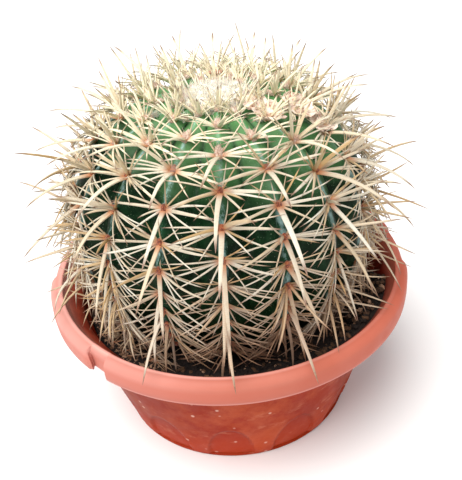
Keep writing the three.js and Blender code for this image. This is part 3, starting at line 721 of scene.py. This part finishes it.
def add_spine(bm, form, layers, path, side, width, thickness, age, tint):
    """Adds one bent needle to the bmesh, with how far along, how old and how tinted each point is."""
    root, bend, tip, share = path
    width *= 0.35 + 0.65 * share
    first = len(bm.verts)
    bm.from_mesh(form)
    bm.verts.ensure_lookup_table()
    for vert in bm.verts[first:]:
        t = vert.co.z
        middle = root.lerp(bend, t).lerp(bend.lerp(tip, t), t)
        along = ((bend - root) * (1 - t) + (tip - bend) * t).normalized()
        across = (side - along * side.dot(along)).normalized()
        up = across.cross(along)
        vert[layers[0]] = t
        vert[layers[1]] = age
        vert[layers[2]] = tint
        vert.co = middle + across * vert.co.x * width + up * vert.co.y * thickness


def spine_mesh():
    """An empty bmesh for spines, and its layers for how far along, how old and how tinted they are."""
    bm = bmesh.new()
    return bm, [bm.verts.layers.float.new(name) for name in ("along", "age", "tint")]


horn, tree, shader = material_of("straw_spines", 0.42)
translucent(shader, 0.06, (0.001, 0.0008, 0.0006))
along = stored(tree, "along")
age = stored(tree, "age")
tint = stored(tree, "tint")
straw = blend(tree, tint, colour(186, 152, 100), colour(217, 213, 198))
# Young spines near the crown are paler and the oldest, low down, browner: partly their age, partly painted
# light at the top and painted shade low down.
straw = blend(tree, band(tree, age, 0.38, 0.18, 0, 0.9), straw, colour(252, 244, 214))
aged_and_painted_shade = blend(tree, band(tree, age, 0.50, 0.95, 0, 0.92), straw, colour(146, 105, 80))
rooted = blend(tree, band(tree, along, 0.21, 0.07, 0, 0.85), aged_and_painted_shade,
               blend(tree, age, colour(214, 128, 62), colour(150, 80, 46)))
# Brown tips: partly their own colour, partly painted shade.
tipped = blend(tree, band(tree, along, 0.77, 0.92, 0, 0.9), rooted, colour(116, 76, 58))
fibres = band(tree, grain(tree, 700, detail=3), 0.45, 0.7, 0, 0.3)
streaked = blend(tree, fibres, tipped, colour(196, 164, 122))
# Painted shade: the spines darken towards their edges as the camera sees them, so they look rounder.
painted_edge_shade = band(tree, node(tree, "LayerWeight", {"Blend": 0.4}).outputs["Facing"], 0.55, 0.95, 0, 0.4)
tree.links.new(blend(tree, painted_edge_shade, streaked, colour(138, 112, 72)), shader.inputs["Base Color"])
rings = node(tree, "Math", {0: along, 1: 260.0}, operation="MULTIPLY").outputs[0]
ridged = node(tree, "Math", {0: rings}, operation="SINE").outputs[0]
bumped(tree, shader, ridged, 0.25, 0.0002)

broad_form = needle_form(6, 8, 0.46)
slim_form = needle_form(5, 5, 0.46)
draw = random.Random(4)

# One row for each kind: its parts sideways, out and down at the root and at the tip, its length, width and
# thickness in metres, and the share of its places that are filled.
BROAD_SPINE = ((0.0, 0.80, 0.52), (0.0, 0.14, 0.98), 0.0500, 0.0039, 0.0018, 1.0)
SIDE_SPINES = [
    ((0.90, 0.44, 0.10), (0.94, -0.32, 0.14), 0.0380, 0.0025, 0.0016, 1.0),
    ((0.88, 0.46, -0.14), (0.96, -0.30, -0.02), 0.0350, 0.0017, 0.0013, 1.0),
    ((0.90, 0.34, 0.00), (0.96, -0.26, 0.08), 0.0320, 0.0014, 0.0011, 0.85),
    ((0.84, 0.44, 0.30), (0.88, -0.20, 0.34), 0.0320, 0.0015, 0.0012, 0.85),
    ((0.58, 0.52, 0.60), (0.60, 0.06, 0.80), 0.0270, 0.0015, 0.0012, 0.9),
]
UPPER_SPINES = [
    ((0.56, 0.58, -0.58), (0.62, 0.26, -0.70), 0.0250, 0.0014, 0.0011, 1.0),
    ((0.20, 0.64, -0.74), (0.20, 0.42, -0.88), 0.0200, 0.0012, 0.0010, 0.5),
]

# Stout spines that point forward, each without its share of filled places, which depends on the rib.
FORWARD_SPINES = [
    ((0.34, 0.90, -0.26), (0.48, 0.62, 0.02), 0.0440, 0.0030, 0.0022),
    ((0.70, 0.70, 0.06), (0.84, 0.30, 0.34), 0.0360, 0.0023, 0.0018),
    ((0.52, 0.76, -0.44), (0.56, 0.54, -0.34), 0.0330, 0.0021, 0.0017),
    ((0.80, 0.55, 0.26), (0.84, 0.12, 0.52), 0.0330, 0.0018, 0.0015),
]

# Ribs are counted from the front towards +X. The spines at the back and left are given a paler tone than
# those at the front, those low at the right are thinner, and at the back they stand up further down the stem.
FRONT_RIBS = (0, 1, 15)
BACK_RIBS = range(5, 12)
THIN_RIBS = range(2, 8)
RIB_TONE = [1] * 2 + [0.86] * 4 + [0.72] * 9 + [0.86]
FRONT_FILLED = 0.15
OVER_RIM_LEVELS = (0.131, 0.146)
OVER_RIM_PUSH = 0.7
HANGING_SHARE = 0.7
CROWN_EDGE = 0.0205
OLDEST = 0.20
UPRIGHT_UNTIL = 0.062
BACK_UPRIGHT_UNTIL = 0.105
SAG_FROM = 0.095
SAG_RUN = 0.085

broad, broad_layers = spine_mesh()
sides, side_layers = spine_mesh()
uppers, upper_layers = spine_mesh()


def dress_areole(rib, length, swing):
    """Grows all the spines of one areole, by its rib and its length down the crest from the crown."""
    spot, side, out, down = areole_frame(rib, swing)
    age = min(length / OLDEST, 1) * RIB_TONE[rib]
    upright = max(0, 1 - length / UPRIGHT_UNTIL)
    rising = max(0, 1 - length / (BACK_UPRIGHT_UNTIL if rib in BACK_RIBS else UPRIGHT_UNTIL))
    sag = smooth((length - SAG_FROM) / SAG_RUN)
    over_rim = rib in FRONT_RIBS and OVER_RIM_LEVELS[0] < spot.z < OVER_RIM_LEVELS[1]
    size = 0.42 + 0.58 * smooth((length - 0.012) / 0.055) - 0.03 * sag
    thinned = 1 - 0.5 * max(0, 1 - length / 0.045) - 0.2 * smooth((length - 0.14) / 0.04)

    def direction(parts, sign, spread):
        """A direction from its parts: steeper near the crown, sagging low down, and a little random."""
        lateral, outward, downward = parts
        wander = [draw.gauss(0, spread) for _ in range(3)]
        pushed = OVER_RIM_PUSH if over_rim and sign == 0 else 0
        if sign == 0:
            wander[0] *= 1.8 - 1.1 * sag
        return (side * (lateral * sign * (1 - 0.45 * upright) + wander[0])
                + out * (outward + 0.75 * rising - 0.12 * sag + pushed + wander[1] * 0.6)
                + down * (downward * (1 - rising) + (0.55 if sign else 0.34) * sag + wander[2]))

    def grow(bm, layers, form, kind, sign, shortest=0.84):
        """Grows one spine of a kind: at the middle where the sign is 0, or at the side that it gives."""
        start, end, reach, width, thickness, filled = kind
        if draw.random() > filled * thinned:
            return
        foot = spot + side * sign * ROOT_SPREAD + down * start[2] * ROOT_SHIFT
        begin = direction(start, sign, 0.08 + 0.08 * sag)
        finish = begin * (0.25 + 0.35 * sag) + direction(end, sign, 0.10 + 0.12 * sag)
        hangs = sign == 0 and sag > 0.15 and draw.random() < HANGING_SHARE and not over_rim
        tries = HANGING + RAISED if hangs else RAISED
        spine_length = reach * size * draw.uniform(shortest, 1.1) * (1 - 0.3 * rising)
        path = spine_path(foot, begin, finish, spine_length, tries)
        if path:
            flat = down if sign else side
            slender = draw.uniform(0.85, 1.1) * (1 - (0.3 if sign else 0.5) * upright)
            slender *= 1 - (0.62 if rib in THIN_RIBS else 0.35 if sign else 0.28) * sag
            tone = draw.uniform(0, 0.7) if bm is uppers else draw.uniform(0.45, 1)
            add_spine(bm, form, layers, path, flat, width * slender, thickness, age, tone)

    grow(broad, broad_layers, broad_form, BROAD_SPINE, 0)
    filled = FRONT_FILLED if rib in FRONT_RIBS else 0.80 - 0.4 * upright
    for sign in (1, -1):
        for kind in SIDE_SPINES:
            grow(sides, side_layers, slim_form, kind, sign)
        for kind in UPPER_SPINES:
            grow(uppers, upper_layers, slim_form, kind, sign)
        for kind in FORWARD_SPINES:
            grow(uppers, upper_layers, slim_form, (*kind, filled), sign, shortest=0.40)


for rib, length, swing in areoles:
    if crest(swing)[0] >= CROWN_EDGE:
        dress_areole(rib, length, swing)
piece("broad_spines", broad, horn, sharp=60)
piece("side_spines", sides, horn, sharp=80)
piece("upper_spines", uppers, horn, sharp=80)

# The fallen spines: old ones that broke off the stem, thin, dry and brittle. They lie loose and tangled on
# the soil at the left.
FALLEN_COUNT = 110
FALLEN_ANGLES = (-112, -28)
FALLEN_RADII = (0.078, 0.094)
fallen, fallen_layers = spine_mesh()
for _ in range(FALLEN_COUNT):
    angle = math.radians(draw.uniform(*FALLEN_ANGLES))
    radius = draw.uniform(*FALLEN_RADII)
    level = soil_height(radius, angle) + draw.uniform(0.0015, 0.006)
    middle = around(radius, angle, level)
    heading = angle + math.pi / 2 + draw.gauss(0, 0.7)
    half = around(1, heading, draw.gauss(0, 0.16)) * draw.uniform(0.006, 0.013)
    sway = Vector((draw.gauss(0, 0.001), draw.gauss(0, 0.001), 0.001))
    path = (middle - half, middle + sway, middle + half, 1)
    if fits(middle - half) and fits(middle + half):
        tone = draw.random()
        add_spine(fallen, slim_form, fallen_layers, path, Vector((0, 0, 1)), 0.0009, 0.0008, 0.85, tone)
piece("fallen_spines", fallen, horn, sharp=80)

# The crown: a pad of felted cream wool in the sunken top, with fine hairs that stand out of it. Hairs cover
# the youngest areoles round it as well, and loose tufts of wool sit on three ribs near it.
CROWN_X = stem_middle(STEM_WIDEST + STEM_UPPER)
CROWN_TOP = STEM_WIDEST + STEM_UPPER - HOLLOW_DEPTH
WOOL_RADIUS = 0.0215
WOOL_HEIGHT = 0.0068
WOOL_EDGE = 0.0028
WOOL_BASE = 0.0026
WOOL_ROUGHNESS = 0.0026
wool_profile = [(0, CROWN_TOP + 0.0004), (0.012, CROWN_TOP + 0.0010), (0.019, CROWN_TOP + WOOL_BASE)]
wool_profile += [(WOOL_RADIUS * math.cos(a), CROWN_TOP + WOOL_EDGE + (WOOL_HEIGHT - WOOL_EDGE) * math.sin(a))
                 for a in (math.radians(6 * i) for i in range(15))]
wool_profile += [(0, CROWN_TOP + WOOL_HEIGHT)]
pad = spun(wool_profile, 96)
bmesh.ops.subdivide_edges(pad, edges=pad.edges, cuts=1, use_grid_fill=True)
for vert in pad.verts:
    if vert.co.z > CROWN_TOP + WOOL_BASE:
        tuft = noise.fractal(vert.co * 200, 0.7, 2.0, 4)
        vert.co.z += WOOL_ROUGHNESS * tuft
        vert.co += Vector((vert.co.x, vert.co.y, 0)) * 0.05 * tuft
bmesh.ops.translate(pad, verts=pad.verts, vec=(CROWN_X, 0, 0))

wool, tree, shader = material_of("cream_wool", 1.0)
shader.inputs["Sheen Weight"].default_value = 0.4
translucent(shader, 0.3, (0.003, 0.0025, 0.002))
tufted = band(tree, grain(tree, 500, detail=5), 0.35, 0.7)
woolly = blend(tree, tufted, colour(254, 244, 224), colour(255, 253, 244))
tree.links.new(woolly, shader.inputs["Base Color"])
bumped(tree, shader, grain(tree, 1600, detail=5), 0.9, 0.0008)
piece("crown_pad", pad, wool, ["crown_wool"], sharp=180)

HAIR_WIDTH = 0.00032
CROWN_TUFTS = 1200
WOOLLY_LENGTH = 0.036
WOOLLY_RIBS = 4
RIB_TUFTS = [(1.7, 0.040), (-3.0, 0.0403), (-1.6, 0.0327)]
hair_form = needle_form(3, 2, 0.4)


def wool_tuft(bm, layers, spot, out, spread, count, reach):
    """Fine curling hairs that stand out of the wool in all directions."""
    for _ in range(count):
        lean = Vector([draw.gauss(0, 1) for _ in range(3)]).normalized()
        curl = Vector([draw.gauss(0, 1) for _ in range(3)]).normalized()
        foot = spot + Vector((draw.gauss(0, spread), draw.gauss(0, spread), draw.gauss(0, spread * 0.3)))
        start = (out + lean * 0.8).normalized() * reach * draw.uniform(0.4, 1)
        bend = foot + start * 0.6
        path = (foot, bend, bend + (start + curl * reach * 0.8) * 0.5, 1)
        add_spine(bm, hair_form, layers, path, curl.cross(start), HAIR_WIDTH, HAIR_WIDTH, 0, draw.random())


def swing_of(radius):
    """The swing at which a crest on the dome has a radius, outside the sunken top."""
    return math.asin((radius / STEM_RADIUS) ** (ROUNDNESS / 2))


hairs, hair_layers = spine_mesh()
for _ in range(CROWN_TUFTS):
    radius = WOOL_RADIUS * 1.15 * math.sqrt(draw.random())
    angle = draw.uniform(0, math.tau)
    domed = math.sqrt(max(0, 1 - (radius / WOOL_RADIUS) ** 2))
    level = CROWN_TOP + WOOL_BASE + (WOOL_HEIGHT - WOOL_BASE) * domed
    spot = Vector((CROWN_X + radius * math.sin(angle), -radius * math.cos(angle), level))
    wool_tuft(hairs, hair_layers, spot, Vector((0, 0, 1)), 0.0012, 2, 0.0034)
for rib, length, swing in areoles:
    if length < WOOLLY_LENGTH and min(rib, RIBS - rib) <= WOOLLY_RIBS:
        spot, side, out, down = areole_frame(rib, swing)
        wool_tuft(hairs, hair_layers, spot - down * 0.001, out, 0.0022, 90, 0.0042)
for rib, radius in RIB_TUFTS:
    spot, side, out, down = areole_frame(rib, swing_of(radius))
    wool_tuft(hairs, hair_layers, spot - out * 0.001, out, 0.0012, 110, 0.0045)
piece("crown_hairs", hairs, wool, sharp=180)

# The areole hairs: the soft felt of the young cushions, in three clumps along each one. It wears off with
# age, so the cushions further down have none.
HAIRY_UNTIL = 0.070
CLUMP_SHIFTS = (-0.0036, -0.0014, 0.0006)
felt_hairs, felt_layers = spine_mesh()
for rib, length, swing in areoles:
    if crest(swing)[0] > CROWN_EDGE and length < HAIRY_UNTIL:
        spot, side, out, down = areole_frame(rib, swing)
        for shift in CLUMP_SHIFTS:
            wool_tuft(felt_hairs, felt_layers, spot + down * shift + out * 0.0008, out, 0.0013, 30, 0.0036)
piece("areole_hairs", felt_hairs, felt, sharp=180)

# The youngest spines: short, cream and still soft, they grow up through the wool of the crown, nearly upright
# in its middle and leaning out towards its edge.
YOUNG_COUNT = 150
GOLDEN_ANGLE = math.pi * (3 - math.sqrt(5))

pale_horn, tree, shader = material_of("young_straw_spines", 0.5)
translucent(shader, 0.2, (0.002, 0.0015, 0.001))
along = stored(tree, "along")
tint = stored(tree, "tint")
cream = blend(tree, tint, colour(244, 232, 200), colour(255, 250, 234))
cream = blend(tree, band(tree, along, 0.16, 0.03, 0, 0.5), cream, colour(240, 196, 150))
cream = blend(tree, band(tree, along, 0.80, 1.0, 0, 0.5), cream, colour(176, 146, 116))
tree.links.new(cream, shader.inputs["Base Color"])
bumped(tree, shader, grain(tree, 1800), 0.3, 0.0003)
young_spines, young_layers = spine_mesh()
for i in range(YOUNG_COUNT):
    share = (i + 0.5) / YOUNG_COUNT
    radius = 0.0025 + 0.0245 * math.sqrt(share)
    angle = i * GOLDEN_ANGLE + draw.gauss(0, 0.1)
    facing = around(1, angle, 0)
    spot = facing * radius + Vector((CROWN_X, 0, CROWN_TOP + 0.0040 - 0.001 * share))
    wander = Vector([draw.gauss(0, 0.16) for _ in range(3)])
    lean = (facing * (0.10 + 0.75 * share) + Vector((0, 0, 1)) + wander).normalized()
    size = (0.0055 + 0.0075 * share) * draw.uniform(0.75, 1.2)
    tip = spot + (lean + facing * 0.12).normalized() * size
    path = (spot - lean * 0.002, spot + lean * size * 0.5, tip, 1)
    tone = draw.uniform(0.2, 1)
    add_spine(young_spines, slim_form, young_layers, path, lean.cross(facing), 0.0010, 0.0009, 0, tone)
piece("young_spines", young_spines, pale_horn, sharp=80)

# The withered flowers: dry papery remains, each a shrivelled tube with a ruff of crumpled pinkish-tan petals,
# still held on the rib that bore it.
FLOWERS = {
    "dried_flower_1": (2, 0.030, 0.9),
    "dried_flower_2": (2, 0.042, 1.0),
    "dried_flower_3": (3, 0.052, 1.1),
    "dried_flower_4": (3, 0.064, 1.0),
    "dried_flower_5": (8, 0.031, 0.75),
}
BROWN_FLOWER = "dried_flower_5"
PETALS = 12
PETAL_LENGTH = 0.0098
PETAL_BREADTH = 0.0068
PETAL_THICKNESS = 0.00028
TUBE_LENGTH = 0.0052


def paper(name, pale, brown):
    """The finish of a dry petal, torn and stained with brown in places."""
    made, tree, shader = material_of(name, 0.88)
    torn = band(tree, grain(tree, 340, detail=5, roughness=0.7), 0.50, 0.66)
    tree.links.new(blend(tree, torn, pale, brown), shader.inputs["Base Color"])
    translucent(shader, 0.15, (0.002, 0.001, 0.0008))
    bumped(tree, shader, grain(tree, 1100, detail=4), 0.7, 0.0006)
    return made


pale_paper = paper("pinkish_dry_petals", colour(244, 226, 210), colour(182, 132, 108))
brown_paper = paper("brown_dry_petals", colour(196, 152, 126), colour(132, 88, 68))

# The noise that ruffles the petals has a seed of its own, which is set so that each run gives the same ones.
noise.seed_set(6)
for index, (name, (rib, from_crown, size)) in enumerate(FLOWERS.items()):
    spot, side, out, down = areole_frame(rib, swing_of(from_crown))
    crumple = random.Random(50 + index)
    browned = name == BROWN_FLOWER
    flower = bmesh.new()
    for petal in range(PETALS):
        strip = bmesh.ops.create_grid(flower, x_segments=3, y_segments=6, size=0.5)["verts"]
        turn = petal * GOLDEN_ANGLE
        rise = crumple.uniform(-0.1, 0.5) + (0.5 if browned else 0)
        reach = PETAL_LENGTH * size * crumple.uniform(0.6, 1.1)
        breadth = PETAL_BREADTH * size * crumple.uniform(0.7, 1.2)
        flat = side * math.cos(turn) + down * math.sin(turn)
        cross = out.cross(flat)
        wave = Vector([crumple.uniform(0, 50) for _ in range(3)])
        for vert in strip:
            t = vert.co.y + 0.5
            half = vert.co.x * breadth * (0.45 + 2.4 * t * (1 - t) + 0.3 * t)
            curl = 0.9 * rise + (0.6 - 1.5 * rise) * t
            lifted = 0.0018 * size + reach * t * curl
            point = spot + out * lifted + flat * (0.0014 + reach * t * (1 - 0.45 * rise))
            ruffle = noise.noise_vector(point * 210 + wave) * 0.0017 * (0.3 + t)
            vert.co = point + cross * half + out * (0.22 * half * math.cos(turn * 3)) + ruffle
    bmesh.ops.solidify(flower, geom=flower.faces[:], thickness=PETAL_THICKNESS)
    bmesh.ops.recalc_face_normals(flower, faces=flower.faces)
    tube = bmesh.ops.create_cone(flower, cap_ends=True, segments=10, radius1=0.0019 * size,
                                 radius2=0.0024 * size, depth=TUBE_LENGTH * size)["verts"]
    stand = Matrix((side, down, out)).transposed().to_4x4()
    bmesh.ops.transform(flower, matrix=Matrix.Translation(spot + out * 0.0029 * size) @ stand, verts=tube)
    finish = brown_paper if browned else pale_paper
    piece(f"withered_{index + 1}", flower, finish, [name], sharp=35)

# The loose stones: three small rounded beige stones, worn smooth and a little uneven, that lie on the soil
# and are held by nothing else.
STONE_UNEVENNESS = 0.16

stone, tree, shader = material_of("beige_stone", 0.8)
veins = band(tree, grain(tree, 260, detail=6), 0.35, 0.7)
veined = blend(tree, veins, colour(188, 158, 124), colour(226, 208, 182))
tree.links.new(veined, shader.inputs["Base Color"])
bumped(tree, shader, grain(tree, 1300, detail=4), 0.5, 0.0005)
for number in (1, 2, 3):
    low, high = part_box(f"pebble_{number}")
    pebble = bmesh.new()
    bmesh.ops.create_icosphere(pebble, subdivisions=4, radius=0.5)
    for vert in pebble.verts:
        vert.co *= 1 + STONE_UNEVENNESS * noise.noise(vert.co * 2.4 + Vector((number * 9, 0, 0)))
    bmesh.ops.scale(pebble, vec=high - low, verts=pebble.verts)
    bmesh.ops.translate(pebble, vec=(low + high) / 2, verts=pebble.verts)
    piece(f"stone_{number}", pebble, stone, [f"pebble_{number}"], sharp=180)

# The stage: a plain pale floor under a bright, soft sky, with a broad light above the front left and a weaker
# one from the front, and the camera where the photograph was taken from.
FLOOR_SIZE = 30
FLOOR_LEVEL = -0.0001
SKY_STRENGTH = 0.56
ELEVATION = math.radians(34.2)
DISTANCE = 0.5417
ROLL = math.radians(-4.18)
AIM = Vector((0.00342, 0, 0.1256))
SENSOR_WIDTH = 36
LENS = 778 * SENSOR_WIDTH / 480

floor = bmesh.new()
bmesh.ops.create_grid(floor, x_segments=1, y_segments=1, size=FLOOR_SIZE)
bmesh.ops.translate(floor, verts=floor.verts, vec=(0, 0, FLOOR_LEVEL))
floor_mesh = bpy.data.meshes.new("floor")
floor.to_mesh(floor_mesh)
floor.free()
pale, tree, shader = material_of("pale_floor", 0.9)
shader.inputs["Base Color"].default_value = (0.9, 0.9, 0.9, 1)
shader.inputs["Specular IOR Level"].default_value = 0.0
floor_mesh.materials.append(pale)
floor = bpy.data.objects.new("floor", floor_mesh)
bpy.context.scene.collection.objects.link(floor)

world = bpy.data.worlds.new("soft_sky")
world.use_nodes = True
sky = world.node_tree.nodes["Background"]
sky.inputs["Color"].default_value = (1, 1, 1, 1)
sky.inputs["Strength"].default_value = SKY_STRENGTH
bpy.context.scene.world = world


def lamp(name, towards, strength, softness, tint):
    """A far, broad light in a direction, its softness given as the angle that it spans."""
    light = bpy.data.lights.new(name, "SUN")
    light.energy = strength
    light.angle = math.radians(softness)
    light.color = tint
    made = bpy.data.objects.new(name, light)
    made.rotation_euler = Vector(towards).to_track_quat("Z", "Y").to_euler()
    bpy.context.scene.collection.objects.link(made)


lamp("key_light", (-0.34, -0.30, 0.90), 3.9, 50, (1, 0.985, 0.96))
lamp("front_light", (0.1, -0.75, 0.65), 0.2, 60, (1, 1, 1))

back = Vector((0, -math.cos(ELEVATION), math.sin(ELEVATION)))
level = Vector((1, 0, 0))
upward = back.cross(level)
right = level * math.cos(ROLL) + upward * math.sin(ROLL)
camera_data = bpy.data.cameras.new("camera")
camera_data.lens = LENS
camera_data.sensor_width = SENSOR_WIDTH
camera = bpy.data.objects.new("camera", camera_data)
turn = Matrix((right, back.cross(right), back)).transposed().to_4x4()
camera.matrix_world = Matrix.Translation(AIM + back * DISTANCE) @ turn
bpy.context.scene.collection.objects.link(camera)
bpy.context.scene.camera = camera
bpy.context.scene.view_settings.view_transform = "Standard"
